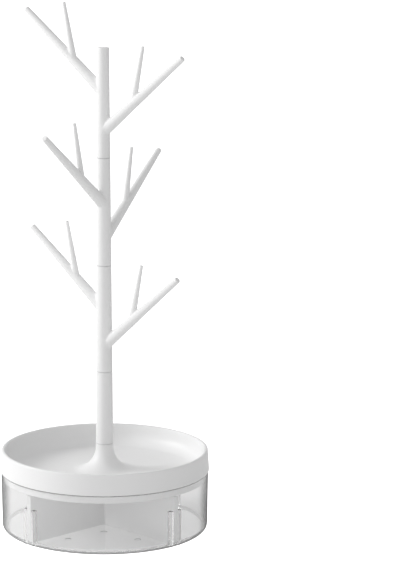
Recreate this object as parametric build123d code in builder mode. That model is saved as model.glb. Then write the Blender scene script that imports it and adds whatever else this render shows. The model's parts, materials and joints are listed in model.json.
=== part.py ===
from build123d import *

import os
from dataclasses import dataclass

# Jewellery stand: a clear round storage box with a cross divider, closed by a dished tray
# lid that carries a plug-together tree of necklace and ring branches.
#
# Millimetres, +Z up. The origin is the centre of the box's underside, on the tree's axis.

# ---------------------------------------------------------------- driving dimensions
# Clear storage box: a thin drafted cup
box_height = 46.1
box_rim_radius = 79.5  # outside, at the open rim
box_draft = 0.8  # how much smaller the radius is at the table
box_wall = 1.6
box_floor = 2.2
box_corner_radius = 4.0  # outside, where the wall turns into the floor
box_rim_round = 0.4

# Guide ribs that stand in pairs on the box's inner wall and hold the divider's ends
guide_height = 28.3  # above the table
guide_depth = 3.0  # how far a rib stands in from the wall
guide_thickness = 3.0

# Shallow ejector-pin marks in the box's floor
pin_mark_radius = 2.5
pin_mark_depth = 0.3
inner_pin_ring = 23.0  # radius of the ring with one mark in each compartment
outer_pin_ring = 50.0  # radius of the ring with two marks in each compartment
outer_pin_spread = 63.0  # degrees between the two marks

# Cross divider, four walls that end in narrow flanges
compartments = 4
divider_turn = -2.0  # degrees that the cross is turned from the diagonals
divider_wall = 1.8
divider_flange_width = 4.2
divider_flange_thickness = 1.5
divider_side_gap = 0.25  # between a flange and the ribs beside it, and the box behind it
divider_top_gap = 0.8  # between the cross and the lid above it
divider_corner_round = 1.2

# Tray lid: dish, plug skirt and the socket that the tree stands in
lid_height = 16.3  # from the box's rim to the tray's rim
lid_overhang = 0.8  # how far the lid's lower edge stands out past the box's rim
lid_draft = 1.1  # how much smaller the radius is at the tray's rim
lid_wall = 2.7
lid_rim_round = 1.1
lid_edge_round = 0.5
tray_depth = 16.3
tray_floor = 2.0
tray_wall_draft = 0.5  # how much narrower the dish is at its floor than at its rim
tray_corner_radius = 10.0
skirt_depth = 6.2  # how far the plug skirt reaches down into the box
skirt_wall = 1.8
skirt_foot_round = 0.5
skirt_gap = 0.3  # between the skirt and the box's inner wall
socket_stub_height = 20.2  # above the tray's floor
flare_radius = 18.0  # of the sweep from the stub into the tray's floor
socket_web = 2.0  # closes the socket underneath

# Tree: one taper from the lid's stub to the top
tree_base_radius = 6.7
tree_top_radius = 4.6
extension_length = 56.4
lower_length = 82.2
middle_length = 82.2
top_length = 83.4
seam_round = 0.5  # of both edges that meet at a seam
top_round = 0.6

# Plug joints between the tree's pieces
socket_wall = 1.9
plug_length = 12.0
plug_gap = 0.05  # radial running clearance
plug_end_gap = 1.0
plug_chamfer = 0.6

# Limbs. Every branch has two opposite ones, a high one and a low one.
limb_root_radius = 4.6
limb_tip_radius = 2.3
limb_tip_round = 0.5
limb_blend = 1.5
low_limb_height = 20.2  # of the low limb's root above the branch's seam
lower_high_limb_height = 47.8  # and of the high limb's root, branch by branch
middle_high_limb_height = 46.7
top_high_limb_height = 49.6
lower_limb_reach = 67.0
lower_limb_rise = 58.2
middle_limb_reach = 75.0
middle_limb_rise = 59.4
top_limb_reach = 71.0
top_limb_rise = 59.1

# Twigs, one on every limb
twig_root_radius = 2.7
twig_tip_radius = 1.35
twig_tip_round = 0.35
twig_blend = 0.9
twig_place = 0.38  # share of the limb's length at which its twig stands
twig_reach = 8.9
twig_rise = 43.4

rod_seam_turn = 150.0  # degrees about a rod's axis to its seam, which misses the blends' ends


@dataclass(frozen=True)
class Branch:
    """The sizes in which one branch differs from the others."""

    label: str
    length: float
    heading: float  # degrees from +X to the upper limb
    high_limb_height: float  # of the upper limb's root above the branch's seam
    limb_reach: float
    limb_rise: float
    has_socket: bool


branches = (
    Branch(
        label="lower_branch",
        length=lower_length,
        heading=145.0,
        high_limb_height=lower_high_limb_height,
        limb_reach=lower_limb_reach,
        limb_rise=lower_limb_rise,
        has_socket=True,
    ),
    Branch(
        label="middle_branch",
        length=middle_length,
        heading=235.0,
        high_limb_height=middle_high_limb_height,
        limb_reach=middle_limb_reach,
        limb_rise=middle_limb_rise,
        has_socket=True,
    ),
    Branch(
        label="top_branch",
        length=top_length,
        heading=145.0,
        high_limb_height=top_high_limb_height,
        limb_reach=top_limb_reach,
        limb_rise=top_limb_rise,
        has_socket=False,
    ),
)

edge_tolerance = 1e-3  # for finding an edge by its radius and height

# ---------------------------------------------------------------- derived places
box_base_radius = box_rim_radius - box_draft
lid_edge_radius = box_rim_radius + lid_overhang
lid_rim_radius = lid_edge_radius - lid_draft
box_inner_corner = box_corner_radius - box_wall
rim_height = box_height + lid_height
dish_height = rim_height - tray_depth
under_dish_height = dish_height - tray_floor
tree_foot = dish_height + socket_stub_height
branch_foot = tree_foot + extension_length
tree_top = branch_foot + sum(branch.length for branch in branches)
skirt_foot = box_height - skirt_depth


def box_inner_radius(height):
    """Radius of the box's inner wall, which follows the outer wall's draft."""
    return box_base_radius + box_draft * height / box_height - box_wall


def tree_radius(height):
    """Outside radius of the tree's stem at a height above the table."""
    share = (height - tree_foot) / (tree_top - tree_foot)
    return tree_base_radius + (tree_top_radius - tree_base_radius) * share


def socket_radius(seam):
    """Radius of the socket that opens at a seam."""
    return tree_radius(seam) - socket_wall


def ring_edges(piece, radius, height):
    """The round edges of a piece with this radius at this height, centred on the axis."""

    def matches(edge):
        return (
            abs(edge.radius - radius) < edge_tolerance
            and abs(edge.arc_center.Z - height) < edge_tolerance
        )

    return piece.edges().filter_by(GeomType.CIRCLE).filter_by(matches)


skirt_radius = box_inner_radius(skirt_foot) - skirt_gap
guide_offset = divider_flange_width / 2 + divider_side_gap + guide_thickness / 2
wall_heading = 360 / compartments / 2 + divider_turn

# ---------------------------------------------------------------- storage box
with BuildPart() as storage_box:
    with BuildSketch(Plane.XZ):
        with BuildLine():
            Polyline(
                (0, 0),
                (box_base_radius, 0),
                (box_rim_radius, box_height),
                (box_inner_radius(box_height), box_height),
                (box_inner_radius(box_floor), box_floor),
                (0, box_floor),
                close=True,
            )
        make_face()
    revolve(axis=Axis.Z)
    fillet(ring_edges(storage_box, box_base_radius, 0), box_corner_radius)
    floor_edge = ring_edges(storage_box, box_inner_radius(box_floor), box_floor)
    fillet(floor_edge, box_inner_corner)
    fillet(ring_edges(storage_box, box_rim_radius, box_height), box_rim_round)
    inner_rim = ring_edges(storage_box, box_inner_radius(box_height), box_height)
    fillet(inner_rim, box_rim_round)

    # guide ribs rise from inside the floor and run out into the wall's thickness
    rib_inner = box_inner_radius(box_floor) - guide_depth
    rib_length = guide_depth + box_wall / 2
    with BuildSketch(Plane.XY.offset(box_floor / 2)):
        with PolarLocations(0, compartments, start_angle=wall_heading):
            with Locations((rib_inner, guide_offset), (rib_inner, -guide_offset)):
                Rectangle(
                    rib_length, guide_thickness, align=(Align.MIN, Align.CENTER)
                )
    extrude(amount=guide_height - box_floor / 2)

    with BuildSketch(Plane.XY.offset(box_floor)):
        Circle(pin_mark_radius)
        with PolarLocations(inner_pin_ring, compartments, start_angle=divider_turn):
            Circle(pin_mark_radius)
        for side in (-1, 1):
            first = divider_turn + side * outer_pin_spread / 2
            with PolarLocations(outer_pin_ring, compartments, start_angle=first):
                Circle(pin_mark_radius)
    extrude(amount=-pin_mark_depth, mode=Mode.SUBTRACT)
storage_box.part.label = "storage_box"

# ---------------------------------------------------------------- divider
divider_top = skirt_foot - divider_top_gap
divider_reach = box_inner_radius(divider_top)
flange_start = box_inner_radius(box_floor) - divider_side_gap - divider_flange_thickness

with BuildPart() as divider_cross:
    with BuildSketch(Plane.XY.offset(box_floor)):
        with PolarLocations(0, compartments, start_angle=wall_heading):
            Rectangle(divider_reach, divider_wall, align=(Align.MIN, Align.CENTER))
            with Locations((flange_start, 0)):
                Rectangle(
                    divider_reach - flange_start,
                    divider_flange_width,
                    align=(Align.MIN, Align.CENTER),
                )
    extrude(amount=divider_top - box_floor)

    # trimmed to the cup's inside, with its draft and its round lower corner
    trim_radius = box_inner_radius(box_floor) - divider_side_gap
    with BuildSketch(Plane.XZ) as cup_inside:
        with BuildLine():
            Polyline(
                (0, box_floor),
                (trim_radius, box_floor),
                (divider_reach - divider_side_gap, divider_top),
                (0, divider_top),
                close=True,
            )
        make_face()
        lower_corner = cup_inside.vertices().sort_by_distance((trim_radius, box_floor))[0]
        fillet(lower_corner, box_inner_corner)
    revolve(axis=Axis.Z, mode=Mode.INTERSECT)

    upright_edges = divider_cross.edges().filter_by(Axis.Z)
    inner_corners = upright_edges.sort_by_distance((0, 0, divider_top))[:compartments]
    fillet(inner_corners, divider_corner_round)
divider_cross.part.label = "divider_cross"

# ---------------------------------------------------------------- tray lid
dish_rim_radius = lid_rim_radius - lid_wall
dish_floor_radius = dish_rim_radius - tray_wall_draft
flare_reach = tree_base_radius + flare_radius
flare_top = dish_height + flare_radius
socket_foot = tree_foot - plug_length - plug_end_gap
web_height = socket_foot - socket_web
under_flare_radius = flare_radius + tray_floor
web_drop = flare_top - web_height
web_radius = flare_reach - (under_flare_radius**2 - web_drop**2) ** 0.5

with BuildPart() as tray_lid:
    with BuildSketch(Plane.XZ):
        with BuildLine():
            Polyline(
                (0, web_height),
                (0, socket_foot),
                (socket_radius(tree_foot), socket_foot),
                (socket_radius(tree_foot), tree_foot),
                (tree_base_radius, tree_foot),
                (tree_base_radius, flare_top),
            )
            RadiusArc(
                (tree_base_radius, flare_top),
                (flare_reach, dish_height),
                -flare_radius,
            )
            Polyline(
                (flare_reach, dish_height),
                (dish_floor_radius, dish_height),
                (dish_rim_radius, rim_height),
                (lid_rim_radius, rim_height),
                (lid_edge_radius, box_height),
                (skirt_radius, box_height),
                (skirt_radius, skirt_foot),
                (skirt_radius - skirt_wall, skirt_foot),
                (skirt_radius - skirt_wall, under_dish_height),
                (flare_reach, under_dish_height),
            )
            RadiusArc(
                (flare_reach, under_dish_height),
                (web_radius, web_height),
                under_flare_radius,
            )
            Line((web_radius, web_height), (0, web_height))
        make_face()
    revolve(axis=Axis.Z)
    fillet(ring_edges(tray_lid, dish_floor_radius, dish_height), tray_corner_radius)
    fillet(ring_edges(tray_lid, dish_rim_radius, rim_height), lid_rim_round)
    fillet(ring_edges(tray_lid, lid_rim_radius, rim_height), lid_rim_round)
    fillet(ring_edges(tray_lid, lid_edge_radius, box_height), lid_edge_round)
    fillet(ring_edges(tray_lid, skirt_radius, skirt_foot), skirt_foot_round)
    fillet(ring_edges(tray_lid, skirt_radius - skirt_wall, skirt_foot), skirt_foot_round)
    fillet(ring_edges(tray_lid, tree_base_radius, tree_foot), seam_round)
tray_lid.part.label = "tray_lid"


# ---------------------------------------------------------------- tree
def add_stem(piece, foot, top, has_socket):
    """A length of the tree's stem, with its plug below and, below another piece, a socket."""
    plug_radius = socket_radius(foot) - plug_gap
    plug_foot = foot - plug_length
    with BuildSketch(Plane.XZ) as profile:
        with BuildLine():
            Polyline(
                (0, plug_foot),
                (plug_radius, plug_foot),
                (plug_radius, foot),
                (tree_radius(foot), foot),
                (tree_radius(top), top),
                (0, top),
                close=True,
            )
        make_face()
    revolve(profile.sketch, axis=Axis.Z)
    chamfer(ring_edges(piece, plug_radius, plug_foot), plug_chamfer)
    fillet(ring_edges(piece, tree_radius(foot), foot), seam_round)
    top_edge = ring_edges(piece, tree_radius(top), top)
    fillet(top_edge, seam_round if has_socket else top_round)
    if has_socket:
        with BuildSketch(Plane.XY.offset(top)) as socket:
            Circle(socket_radius(top))
        socket_depth = plug_length + plug_end_gap
        extrude(socket.sketch, amount=-socket_depth, mode=Mode.SUBTRACT)


def add_rod(piece, start, end, side, radii, tip_round, blend):
    """A round rod that tapers from start to end, blended into what it grows from."""
    upright = Plane(origin=start, x_dir=side, z_dir=end - start)
    with Locations(upright * Rot(Z=rod_seam_turn)):
        Cone(*radii, (end - start).length, align=(Align.CENTER, Align.CENTER, Align.MIN))
    fillet(piece.edges(Select.LAST).filter_by(GeomType.BSPLINE), blend)
    tip_edge = piece.edges().filter_by(GeomType.CIRCLE).sort_by_distance(end)[0]
    fillet(tip_edge, tip_round)


def add_limb(piece, root_height, heading, reach, rise):
    """One limb with its twig, both in the upright plane of the heading."""
    outward = Vector(1, 0, 0).rotate(Axis.Z, heading)
    side = Vector(0, 0, 1).cross(outward)
    root = Vector(0, 0, root_height)
    tip = root + outward * reach + Vector(0, 0, rise)
    add_rod(
        piece, root, tip, side, (limb_root_radius, limb_tip_radius), limb_tip_round, limb_blend
    )
    twig_root = root + (tip - root) * twig_place
    twig_tip = twig_root + outward * twig_reach + Vector(0, 0, twig_rise)
    add_rod(
        piece,
        twig_root,
        twig_tip,
        side,
        (twig_root_radius, twig_tip_radius),
        twig_tip_round,
        twig_blend,
    )


with BuildPart() as extension_tube:
    add_stem(extension_tube, tree_foot, branch_foot, has_socket=True)
extension_tube.part.label = "extension_tube"


def make_branch(branch, seam):
    """A branch of the tree that stands on the seam at this height."""
    with BuildPart() as piece:
        add_stem(piece, seam, seam + branch.length, branch.has_socket)
        high_root = seam + branch.high_limb_height
        add_limb(piece, high_root, branch.heading, branch.limb_reach, branch.limb_rise)
        low_root = seam + low_limb_height
        add_limb(piece, low_root, branch.heading + 180, branch.limb_reach, branch.limb_rise)
    piece.part.label = branch.label
    return piece


pieces = [storage_box, divider_cross, tray_lid, extension_tube]
seam = branch_foot
for branch in branches:
    pieces.append(make_branch(branch, seam))
    seam += branch.length

# ---------------------------------------------------------------- export
os.makedirs("parts", exist_ok=True)
for piece in pieces:
    export_step(piece.part, f"parts/{piece.part.label}.step")
    print(piece.part.label, piece.part.is_valid, round(piece.part.volume))
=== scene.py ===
"""Dresses the jewellery stand and sets it in a plain white studio.

The stand is a plug-together tree of white limbs on a dished tray lid, over a clear round
storage box with a hazy cross divider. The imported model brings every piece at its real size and
place. This script gives each piece its finish, lights it from the left and looks at it from the
photograph's place.

Metres, +Z up. The origin is the centre of the box's underside, on the tree's axis.
"""

from __future__ import annotations

import json
import logging
import math
from dataclasses import dataclass, replace
from enum import Enum

import bpy
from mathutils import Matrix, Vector

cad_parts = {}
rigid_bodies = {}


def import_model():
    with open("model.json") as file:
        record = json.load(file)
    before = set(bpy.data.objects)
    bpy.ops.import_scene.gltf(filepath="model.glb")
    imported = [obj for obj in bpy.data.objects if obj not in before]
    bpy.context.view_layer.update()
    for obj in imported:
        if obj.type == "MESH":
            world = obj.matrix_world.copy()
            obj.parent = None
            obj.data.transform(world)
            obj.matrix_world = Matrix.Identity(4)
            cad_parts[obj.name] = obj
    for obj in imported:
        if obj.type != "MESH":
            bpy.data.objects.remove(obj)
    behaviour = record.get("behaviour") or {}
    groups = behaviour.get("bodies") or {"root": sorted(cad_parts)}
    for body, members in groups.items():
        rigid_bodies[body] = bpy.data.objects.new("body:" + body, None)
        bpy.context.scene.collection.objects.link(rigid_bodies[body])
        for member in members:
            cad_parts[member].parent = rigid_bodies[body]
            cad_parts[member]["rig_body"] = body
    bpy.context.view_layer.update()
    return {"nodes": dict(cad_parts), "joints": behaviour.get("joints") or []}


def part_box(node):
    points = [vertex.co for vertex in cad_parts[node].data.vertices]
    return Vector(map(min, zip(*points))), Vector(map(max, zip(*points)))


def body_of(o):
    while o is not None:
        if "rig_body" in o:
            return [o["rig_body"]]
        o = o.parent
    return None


LOG = logging.getLogger("jewellery_stand")

MM = 0.001

RIPPLE_DETAIL = 1.0  # octaves of the noise pattern of waves in clear plastic
SOFT_DETAIL = 2.0  # of a soft grain or drift
FINE_DETAIL = 3.0  # and of one with finer drifts in it
SHEEN_PER_CLOUD = 3  # drifts of the shine across one drift of the colour
EVEN_SPREAD = (1.0, 1.0, 1.0)  # light under the surface reaches as far in every colour
WHITE = (1.0, 1.0, 1.0)

# Slopes of a face, from 0 where it stands upright to 1 where it is level
WALL_FULL = 0.2  # up to here a face is a wall
WALL_END = 0.7  # and from here on it is none
ROUND_START = 0.3  # from here on a face belongs to a rounded corner
ROUND_FULL = 0.6
LEVEL = 0.998

Colour = tuple[float, float, float]
Point = tuple[float, float, float]


# ---------------------------------------------------------------- shader wiring
class Wiring:
    """A short way to write node trees: nodes by type, with values or links as inputs."""

    def __init__(self, tree: bpy.types.NodeTree) -> None:
        """Empties the tree.

        Args:
            tree: The node tree of a material, a world or a lamp.
        """
        self.tree = tree
        self.tree.nodes.clear()

    def node(self, kind: str, inputs: dict | None = None, **settings) -> bpy.types.Node:
        """Adds a node.

        Args:
            kind: The node's type without its ShaderNode prefix.
            inputs: Socket name or number to a value, or to the output socket that feeds it.
            **settings: Properties of the node itself.

        Returns:
            The new node.
        """
        made = self.tree.nodes.new(f"ShaderNode{kind}")
        for name, value in settings.items():
            setattr(made, name, value)
        for name, value in (inputs or {}).items():
            socket = made.inputs[name]
            if isinstance(value, bpy.types.NodeSocket):
                self.tree.links.new(value, socket)
            else:
                socket.default_value = value
        return made

    def math(self, operation: str, *values: float | bpy.types.NodeSocket) -> bpy.types.NodeSocket:
        """Adds a Math node and returns its result.

        Args:
            operation: The node's operation, such as MULTIPLY.
            *values: Its inputs in order.

        Returns:
            The node's output socket.
        """
        inputs = dict(enumerate(values))
        return self.node("Math", inputs, operation=operation).outputs[0]

    def ramp(
        self,
        value: bpy.types.NodeSocket,
        start: float,
        end: float,
        low: float = 0.0,
        high: float = 1.0,
        smooth: bool = False,
    ) -> bpy.types.NodeSocket:
        """Adds a Map Range node.

        Args:
            value: What is mapped.
            start: The value up to which the result is low.
            end: The value from which it is high.
            low: Result at the start.
            high: Result at the end.
            smooth: Whether the ramp eases in and out.

        Returns:
            The node's output socket.
        """
        inputs = {
            "Value": value,
            "From Min": start,
            "From Max": end,
            "To Min": low,
            "To Max": high,
        }
        course = "SMOOTHSTEP" if smooth else "LINEAR"
        made = self.node("MapRange", inputs, interpolation_type=course)
        return made.outputs["Result"]

    def mixed_colour(
        self,
        share: bpy.types.NodeSocket,
        first: bpy.types.NodeSocket | Colour,
        second: Colour,
    ) -> bpy.types.NodeSocket:
        """Adds a colour Mix node.

        Args:
            share: How much of the second colour there is, from 0 to 1.
            first: The first colour, or the socket that gives it.
            second: The second colour.

        Returns:
            The node's output socket.
        """
        if not isinstance(first, bpy.types.NodeSocket):
            first = rgba(first)
        inputs = {"Factor": share, "A": first, "B": rgba(second)}
        return self.node("Mix", inputs, data_type="RGBA").outputs["Result"]

    def mixed_shader(
        self,
        share: float | bpy.types.NodeSocket,
        first: bpy.types.NodeSocket,
        second: bpy.types.NodeSocket,
    ) -> bpy.types.NodeSocket:
        """Adds a Mix Shader node.

        Args:
            share: How much of the second shader there is, from 0 to 1.
            first: The first shader.
            second: The second shader.

        Returns:
            The node's output socket.
        """
        inputs = {"Fac": share, 1: first, 2: second}
        return self.node("MixShader", inputs).outputs["Shader"]

    def relief(self, height: bpy.types.NodeSocket) -> bpy.types.NodeSocket:
        """Adds a Bump node for heights in metres and returns its normal."""
        inputs = {"Height": height, "Strength": 1.0, "Distance": 1.0}
        return self.node("Bump", inputs).outputs["Normal"]

    def height(self, place: bpy.types.NodeSocket) -> bpy.types.NodeSocket:
        """Splits a position or direction and returns its upward part."""
        return self.node("SeparateXYZ", {"Vector": place}).outputs["Z"]


def rgba(colour: Colour) -> tuple[float, float, float, float]:
    """The colour with full opacity, as sockets take it."""
    return (*colour, 1.0)


# ---------------------------------------------------------------- finishes
@dataclass(frozen=True)
class SatinPlastic:
    """White moulded plastic with a fine even grain and a soft shine.

    Attributes:
        name: The material's name.
        colour: Its own colour.
        cloud: How much lighter or darker the colour drifts over the piece.
        cloud_size: Size of that drift.
        roughness: Of the shine, on average.
        roughness_drift: How far the roughness wanders either way.
        grain_size: Size of the moulded grain.
        grain_height: Height of the grain.
        index: Its index of refraction.
        glow: Share of the light that spreads under the surface.
        glow_reach: How far that light spreads.
        parting_width: Width of the mould's parting line, or 0 for none.
        parting_height: How far that line stands proud.
        parting_heading: Degrees from +X to the upright plane that holds the line.
        seam: Height at which the piece sits on the one below it, or 0 for none.
        seam_reach: How far above and below that height the painted shade of the seam fades out.
        painted_seam_shade: Colour of that painted shade.
    """

    name: str
    colour: Colour = (0.87, 0.87, 0.87)
    cloud: float = 0.012
    cloud_size: float = 45 * MM
    roughness: float = 0.42
    roughness_drift: float = 0.05
    grain_size: float = 0.55 * MM
    grain_height: float = 0.006 * MM
    index: float = 1.46
    glow: float = 0.12
    glow_reach: float = 1.5 * MM
    parting_width: float = 0.0
    parting_height: float = 0.06 * MM
    parting_heading: float = 0.0
    seam: float = 0.0
    seam_reach: float = 1.0 * MM
    painted_seam_shade: Colour = (0.58, 0.58, 0.58)

    def material(self) -> bpy.types.Material:
        """Builds the finish.

        Returns:
            The new material.
        """
        made = bpy.data.materials.new(self.name)
        made.use_nodes = True
        wiring = Wiring(made.node_tree)
        place = wiring.node("TexCoord").outputs["Object"]
        drift = self._noise(wiring, place, self.cloud_size, SOFT_DETAIL)
        lighter = tuple(part * (1 + self.cloud) for part in self.colour)
        darker = tuple(part * (1 - self.cloud) for part in self.colour)
        tone = wiring.mixed_colour(drift, darker, lighter)
        # Painted shade: the colour darkens in the groove at the seam.
        if self.seam:
            tone = self._paint_seam_shade(wiring, place, tone)
        sheen_size = self.cloud_size / SHEEN_PER_CLOUD
        roughness = wiring.ramp(
            self._noise(wiring, place, sheen_size, FINE_DETAIL),
            start=0.0,
            end=1.0,
            low=self.roughness - self.roughness_drift,
            high=self.roughness + self.roughness_drift,
        )
        surface = wiring.node(
            "BsdfPrincipled",
            {
                "Base Color": tone,
                "Roughness": roughness,
                "IOR": self.index,
                "Subsurface Weight": self.glow,
                "Subsurface Radius": EVEN_SPREAD,
                "Subsurface Scale": self.glow_reach,
                "Normal": self._relief(wiring, place),
            },
        )
        wiring.node("OutputMaterial", {"Surface": surface.outputs["BSDF"]})
        return made

    def _noise(
        self, wiring: Wiring, place: bpy.types.NodeSocket, size: float, detail: float
    ) -> bpy.types.NodeSocket:
        """A noise pattern whose blobs have this size, as its factor socket."""
        inputs = {"Vector": place, "Scale": 1 / size, "Detail": detail}
        return wiring.node("TexNoise", inputs).outputs["Fac"]

    def _paint_seam_shade(
        self, wiring: Wiring, place: bpy.types.NodeSocket, tone: bpy.types.NodeSocket
    ) -> bpy.types.NodeSocket:
        """The colour with a painted shade in the groove where two pieces meet."""
        above = wiring.math("SUBTRACT", wiring.height(place), self.seam)
        aside = wiring.math("ABSOLUTE", above)
        shade = wiring.ramp(aside, 0.0, self.seam_reach, low=1.0, high=0.0, smooth=True)
        return wiring.mixed_colour(shade, tone, self.painted_seam_shade)

    def _relief(self, wiring: Wiring, place: bpy.types.NodeSocket) -> bpy.types.NodeSocket:
        """The moulded grain and the parting line, as a normal socket."""
        grain = self._noise(wiring, place, self.grain_size, SOFT_DETAIL)
        height = wiring.math("MULTIPLY", grain, self.grain_height)
        if self.parting_width:
            turn = (0, 0, -math.radians(self.parting_heading))
            turned = wiring.node("Mapping", {"Vector": place, "Rotation": turn})
            aside = wiring.node("SeparateXYZ", {"Vector": turned.outputs["Vector"]})
            line = wiring.ramp(
                wiring.math("ABSOLUTE", aside.outputs["Y"]),
                start=0.0,
                end=self.parting_width / 2,
                low=self.parting_height,
                high=0.0,
                smooth=True,
            )
            height = wiring.math("ADD", height, line)
        return wiring.relief(height)


@dataclass(frozen=True)
class ClearPlastic:
    """Polished clear plastic, bright to hazy, that lets lamps through to what it shuts in.

    Attributes:
        name: The material's name.
        tint: Colour of what is seen through it.
        dark_edge_paint: Painted dark on an upright wall seen edge-on, standing in for what the
            wall refracts there.
        edge_start: How far a wall is turned away, from 0 to 1, where that colour begins.
        brim: Height of a rim under which a band takes the painted dark too, as a painted shadow
            under the lid's edge, or 0 for none.
        brim_shadow_width: Height of that painted shadow band below the rim.
        brim_shadow_share: How much of the painted dark the band takes, from 0 to 1.
        index: Its index of refraction.
        roughness: Of its surface.
        haze_roughness: Of the surface where it scatters.
        ripple_size: Size of the faint waves that moulding leaves.
        ripple_height: Height of those waves.
        haze: Share of the surface that scatters light instead of passing it.
        haze_and_corner_light_colour: Colour of the haze, and of the painted light on rounded
            corners.
        corner_light_paint: Share of a rounded corner painted a light diffuse colour, standing in
            for the light it passes.
    """

    name: str
    tint: Colour = (0.982, 0.982, 0.982)
    dark_edge_paint: Colour = (0.12, 0.12, 0.12)
    edge_start: float = 0.6
    brim: float = 0.0
    brim_shadow_width: float = 0.9 * MM
    brim_shadow_share: float = 0.4
    index: float = 1.5
    roughness: float = 0.05
    haze_roughness: float = 0.35
    ripple_size: float = 14 * MM
    ripple_height: float = 0.02 * MM
    haze: float = 0.0
    haze_and_corner_light_colour: Colour = (0.9, 0.9, 0.9)
    corner_light_paint: float = 0.3

    def material(self) -> bpy.types.Material:
        """Builds the finish.

        Returns:
            The new material.
        """
        made = bpy.data.materials.new(self.name)
        made.use_nodes = True
        wiring = Wiring(made.node_tree)
        place = wiring.node("TexCoord").outputs["Object"]
        inputs = {"Vector": place, "Scale": 1 / self.ripple_size, "Detail": RIPPLE_DETAIL}
        ripple = wiring.node("TexNoise", inputs).outputs["Fac"]
        relief = wiring.relief(wiring.math("MULTIPLY", ripple, self.ripple_height))
        glass = wiring.node(
            "BsdfPrincipled",
            {
                "Base Color": rgba(self.tint),
                "Roughness": self.roughness,
                "IOR": self.index,
                "Transmission Weight": 1.0,
                "Normal": relief,
            },
        )
        shown = glass.outputs["BSDF"]
        if self.haze:
            haze = wiring.node(
                "BsdfPrincipled",
                {
                    "Base Color": rgba(self.haze_and_corner_light_colour),
                    "Roughness": self.haze_roughness,
                    "IOR": self.index,
                    "Normal": relief,
                },
            )
            shown = wiring.mixed_shader(self.haze, shown, haze.outputs["BSDF"])
        # Painted light: rounded corners take a light diffuse colour in place of the light they
        # pass.
        corner = wiring.node("BsdfDiffuse", {"Color": rgba(self.haze_and_corner_light_colour)})
        shown = wiring.mixed_shader(self._corner_light_paint_share(wiring), shown, corner.outputs["BSDF"])
        # Painted dark: walls seen edge-on, and the band under the lid's edge, take a dark diffuse
        # colour.
        edge = wiring.node("BsdfDiffuse", {"Color": rgba(self.dark_edge_paint)})
        share = self._dark_edge_paint_share(wiring, place)
        shown = wiring.mixed_shader(share, shown, edge.outputs["BSDF"])
        through = wiring.node("BsdfTransparent", {"Color": rgba(self.tint)})
        path = wiring.node("LightPath").outputs
        for light in ("Is Diffuse Ray", "Is Shadow Ray"):
            shown = wiring.mixed_shader(path[light], shown, through.outputs["BSDF"])
        wiring.node("OutputMaterial", {"Surface": shown})
        return made

    def _slope(self, wiring: Wiring) -> bpy.types.NodeSocket:
        """0 on an upright face and 1 on a level one."""
        normal = wiring.node("NewGeometry").outputs["Normal"]
        return wiring.math("ABSOLUTE", wiring.height(normal))

    def _corner_light_paint_share(self, wiring: Wiring) -> bpy.types.NodeSocket:
        """How much of a rounded corner is painted light: in full between upright and level faces.
        """
        slope = self._slope(wiring)
        leaning = wiring.ramp(slope, ROUND_START, ROUND_FULL, high=self.corner_light_paint)
        rounded = wiring.math("LESS_THAN", slope, LEVEL)
        return wiring.math("MULTIPLY", leaning, rounded)

    def _dark_edge_paint_share(
        self, wiring: Wiring, place: bpy.types.NodeSocket
    ) -> bpy.types.NodeSocket:
        """Share of the painted dark: 1 where an upright wall is seen edge-on or at its brim, 0
        where it faces the eye.
        """
        turned_away = wiring.node("LayerWeight").outputs["Facing"]
        edge = wiring.ramp(turned_away, self.edge_start, 1.0, smooth=True)
        wall = wiring.ramp(self._slope(wiring), WALL_FULL, WALL_END, low=1.0, high=0.0)
        share = wiring.math("MULTIPLY", edge, wall)
        if self.brim:
            # Painted shadow: a band just under the brim, where the lid's edge overhangs.
            foot = self.brim - self.brim_shadow_width
            at_brim = wiring.math("GREATER_THAN", wiring.height(place), foot)
            faint = wiring.math("MULTIPLY", at_brim, self.brim_shadow_share)
            share = wiring.math("MAXIMUM", share, faint)
        return share


# ---------------------------------------------------------------- the stand
class Tier(Enum):
    """The tree's three branches, each with the heading of its limbs in degrees from +X."""

    LOWER = ("lower_branch", 145.0)
    MIDDLE = ("middle_branch", 235.0)
    TOP = ("top_branch", 145.0)

    @property
    def node(self) -> str:
        """The branch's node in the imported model."""
        return self.value[0]

    @property
    def heading(self) -> float:
        """The heading of the plane that holds the branch's limbs."""
        return self.value[1]


def dress(piece: bpy.types.Object, material: bpy.types.Material) -> None:
    """Gives a piece one finish all over.

    Args:
        piece: The piece.
        material: The finish.
    """
    piece.data.materials.clear()
    piece.data.materials.append(material)
    LOG.info("%s: %s, %d faces", piece.name, material.name, len(piece.data.polygons))


@dataclass
class StorageBox:
    """The clear round box and the divider that stands in it.

    Attributes:
        nodes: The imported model's objects by name.
        shell: Finish of the box.
        cross: Finish of the divider.
    """

    nodes: dict[str, bpy.types.Object]
    shell: ClearPlastic = ClearPlastic("clear_plastic")
    cross: ClearPlastic = ClearPlastic("divider_plastic", roughness=0.5, haze=0.75)

    def build(self) -> None:
        """Dresses the box, with its brim at the box's top, and the divider."""
        # The painted shadow band under the lid's edge runs down from the box's top.
        shell = replace(self.shell, brim=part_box("storage_box")[1].z)
        dress(self.nodes["storage_box"], shell.material())
        dress(self.nodes["divider_cross"], self.cross.material())


@dataclass
class TrayLid:
    """The dished lid with the stub that the tree plugs into.

    Attributes:
        nodes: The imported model's objects by name.
        finish: Its plastic.
    """

    nodes: dict[str, bpy.types.Object]
    finish: SatinPlastic = SatinPlastic("tray_plastic")

    def build(self) -> None:
        """Dresses the lid."""
        dress(self.nodes["tray_lid"], self.finish.material())


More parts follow.
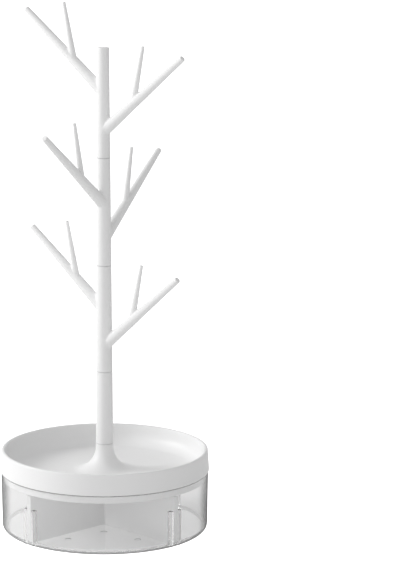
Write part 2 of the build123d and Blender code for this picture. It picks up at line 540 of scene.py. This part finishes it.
@dataclass
class Tree:
    """The stem and its branches.

    Attributes:
        nodes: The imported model's objects by name.
        joints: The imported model's joints.
        parting_width: Width of the line that the mould leaves along the limbs.
    """

    nodes: dict[str, bpy.types.Object]
    joints: list[dict]
    parting_width: float = 0.5 * MM

    def build(self) -> None:
        """Dresses the extension tube and the three branches."""
        self._dress_length("extension_tube", Tier.LOWER.heading)
        for tier in Tier:
            self._dress_length(tier.node, tier.heading)

    def _dress_length(self, name: str, heading: float) -> None:
        """Dresses one length of the tree.

        Args:
            name: Its node.
            heading: Degrees from +X to the plane that its mould parts in.
        """
        piece = self.nodes[name]
        finish = SatinPlastic(
            f"{name}_plastic",
            parting_width=self.parting_width,
            parting_heading=heading,
            # painted shade in the groove at the seam where this length sits
            seam=self._foot(piece),
        )
        dress(piece, finish.material())

    def _foot(self, piece: bpy.types.Object) -> float:
        """Height of the joint on which the piece turns, where it sits on the one below."""
        (body,) = body_of(piece)
        return next(joint["pos_m"][2] for joint in self.joints if joint["child"] == body)


# ---------------------------------------------------------------- the studio
@dataclass(frozen=True)
class Lamp:
    """A square soft lamp that points at the stand.

    Attributes:
        name: Its name.
        place: Where it hangs.
        target: The point it faces.
        side: Length of its sides.
        power: In watts.
    """

    name: str
    place: Point
    target: Point
    side: float
    power: float

    def build(self) -> None:
        """Hangs the lamp."""
        data = bpy.data.lights.new(self.name, "AREA")
        data.shape = "SQUARE"
        data.size = self.side
        data.energy = self.power
        lamp = bpy.data.objects.new(self.name, data)
        bpy.context.scene.collection.objects.link(lamp)
        lamp.location = self.place
        facing = Vector(self.target) - Vector(self.place)
        lamp.rotation_euler = facing.to_track_quat("-Z", "Y").to_euler()
        LOG.info("%s: %.0f W", self.name, self.power)


@dataclass(frozen=True)
class Viewpoint:
    """The photograph's camera.

    Attributes:
        frame_width: Width of the photograph in pixels.
        frame_height: Its height.
        focal_pixels: Focal length in pixels.
        stem_pixel: Column of the photograph in which the stem stands.
        distance: From the camera to the stem, along the ground.
        height: Of the camera above the table.
        pitch: Degrees that the camera looks down.
        roll: Degrees that the camera leans to the left.
        sensor: Width of the sensor, which the frame's long side takes, in millimetres.
        nearest: Distance from which the camera shows anything.
        farthest: Distance up to which it does.
    """

    frame_width: int = 400
    frame_height: int = 571
    focal_pixels: float = 2687.0
    stem_pixel: float = 104.0
    distance: float = 2.0
    height: float = 0.5843
    pitch: float = 11.17
    roll: float = -0.23
    sensor: float = 36.0
    nearest: float = 0.05
    farthest: float = 50.0

    def build(self) -> None:
        """Sets up the camera."""
        data = bpy.data.cameras.new("photo_camera")
        data.sensor_width = self.sensor
        data.lens = self.focal_pixels / self.frame_height * self.sensor
        data.shift_x = (self.frame_width / 2 - self.stem_pixel) / self.frame_height
        data.clip_start = self.nearest
        data.clip_end = self.farthest
        camera = bpy.data.objects.new("photo_camera", data)
        camera.location = (0, -self.distance, self.height)
        camera.rotation_mode = "ZXY"
        camera.rotation_euler = (math.radians(90 - self.pitch), 0, math.radians(self.roll))
        bpy.context.scene.collection.objects.link(camera)
        bpy.context.scene.camera = camera
        LOG.info("camera: lens %.1f mm", data.lens)


@dataclass(frozen=True)
class Studio:
    """The white room: a lit floor under a dimmer sky, with a lamp low on the left.

    Attributes:
        floor_side: Length of the floor's sides.
        floor_drop: Film of air between the floor and the box's underside.
        floor_colour: Colour of the floor.
        floor_glow: Light that the lit floor sends up to the stand.
        floor_lift: What the floor shows on top of that, so that it reads as white.
        mirror_lift: What it shows on top in the shine of a piece or through clear plastic.
        sky_level: Brightness of the room all round.
        dark_level: Brightness of its dark corner, high on the right.
        dark_facing: Direction of that corner.
        dark_heart: Cosine of the angle around that direction within which it is darkest.
        lamps: The lamps.
    """

    floor_side: float = 12.0
    floor_drop: float = 0.1 * MM
    floor_colour: Colour = (0.8, 0.8, 0.8)
    floor_glow: float = 0.14
    floor_lift: float = 0.85
    mirror_lift: float = 0.08
    sky_level: float = 0.87
    dark_level: float = 0.41
    dark_facing: Point = (0.75, 0.0, 0.66)
    dark_heart: float = 0.9
    lamps: tuple[Lamp, ...] = (
        Lamp("key_lamp", (-1.65, 0.16, 0.85), (0, 0, 0.2), 0.6, 13.5),
    )

    def build(self) -> None:
        """Lays the floor, paints the sky and hangs the lamps."""
        self._floor()
        self._sky()
        for lamp in self.lamps:
            lamp.build()

    def _floor(self) -> None:
        """Lays a pale floor that keeps the stand's shadow."""
        bpy.ops.mesh.primitive_plane_add(size=self.floor_side, location=(0, 0, -self.floor_drop))
        floor = bpy.context.object
        floor.name = "floor"
        made = bpy.data.materials.new("floor_paper")
        made.use_nodes = True
        wiring = Wiring(made.node_tree)
        paper = wiring.node("BsdfDiffuse", {"Color": rgba(self.floor_colour)})
        path = wiring.node("LightPath").outputs
        lift = wiring.math("MULTIPLY", path["Is Camera Ray"], self.floor_lift)
        mirrored = wiring.math("MAXIMUM", path["Is Glossy Ray"], path["Is Transmission Ray"])
        faint = wiring.math("MULTIPLY", mirrored, self.mirror_lift)
        shine = wiring.math("ADD", wiring.math("ADD", lift, faint), self.floor_glow)
        glow = wiring.node("Emission", {"Color": rgba(WHITE), "Strength": shine})
        inputs = {0: paper.outputs["BSDF"], 1: glow.outputs["Emission"]}
        shown = wiring.node("AddShader", inputs)
        wiring.node("OutputMaterial", {"Surface": shown.outputs["Shader"]})
        floor.data.materials.append(made)

    def _sky(self) -> None:
        """Paints a white sky that lights the stand less from high on the right."""
        world = bpy.data.worlds.new("white_room")
        world.use_nodes = True
        bpy.context.scene.world = world
        wiring = Wiring(world.node_tree)
        facing = wiring.node("TexCoord").outputs["Generated"]
        toward = Vector(self.dark_facing).normalized()
        dot = wiring.node("VectorMath", {0: facing, 1: toward}, operation="DOT_PRODUCT")
        level = wiring.ramp(
            dot.outputs["Value"],
            start=0.0,
            end=self.dark_heart,
            low=self.sky_level,
            high=self.dark_level,
            smooth=True,
        )
        path = wiring.node("LightPath").outputs
        mirrored = wiring.math("MAXIMUM", path["Is Glossy Ray"], path["Is Transmission Ray"])
        seen = wiring.math("MAXIMUM", path["Is Camera Ray"], mirrored)
        strength = wiring.node(
            "Mix",
            {"Factor": seen, "A": level, "B": 1.0},
            data_type="FLOAT",
        )
        shown = wiring.node(
            "Background",
            {"Color": rgba(WHITE), "Strength": strength.outputs["Result"]},
        )
        wiring.node("OutputWorld", {"Surface": shown.outputs["Background"]})


def main() -> None:
    """Builds the dressed stand and its studio."""
    logging.basicConfig(level=logging.INFO, format="%(name)s: %(message)s")
    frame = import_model()
    nodes = frame["nodes"]
    bpy.ops.object.select_all(action="DESELECT")

    StorageBox(nodes).build()
    TrayLid(nodes).build()
    Tree(nodes, frame["joints"]).build()

    Viewpoint().build()
    Studio().build()
    bpy.context.scene.view_settings.view_transform = "Standard"


if __name__ == "__main__":
    main()
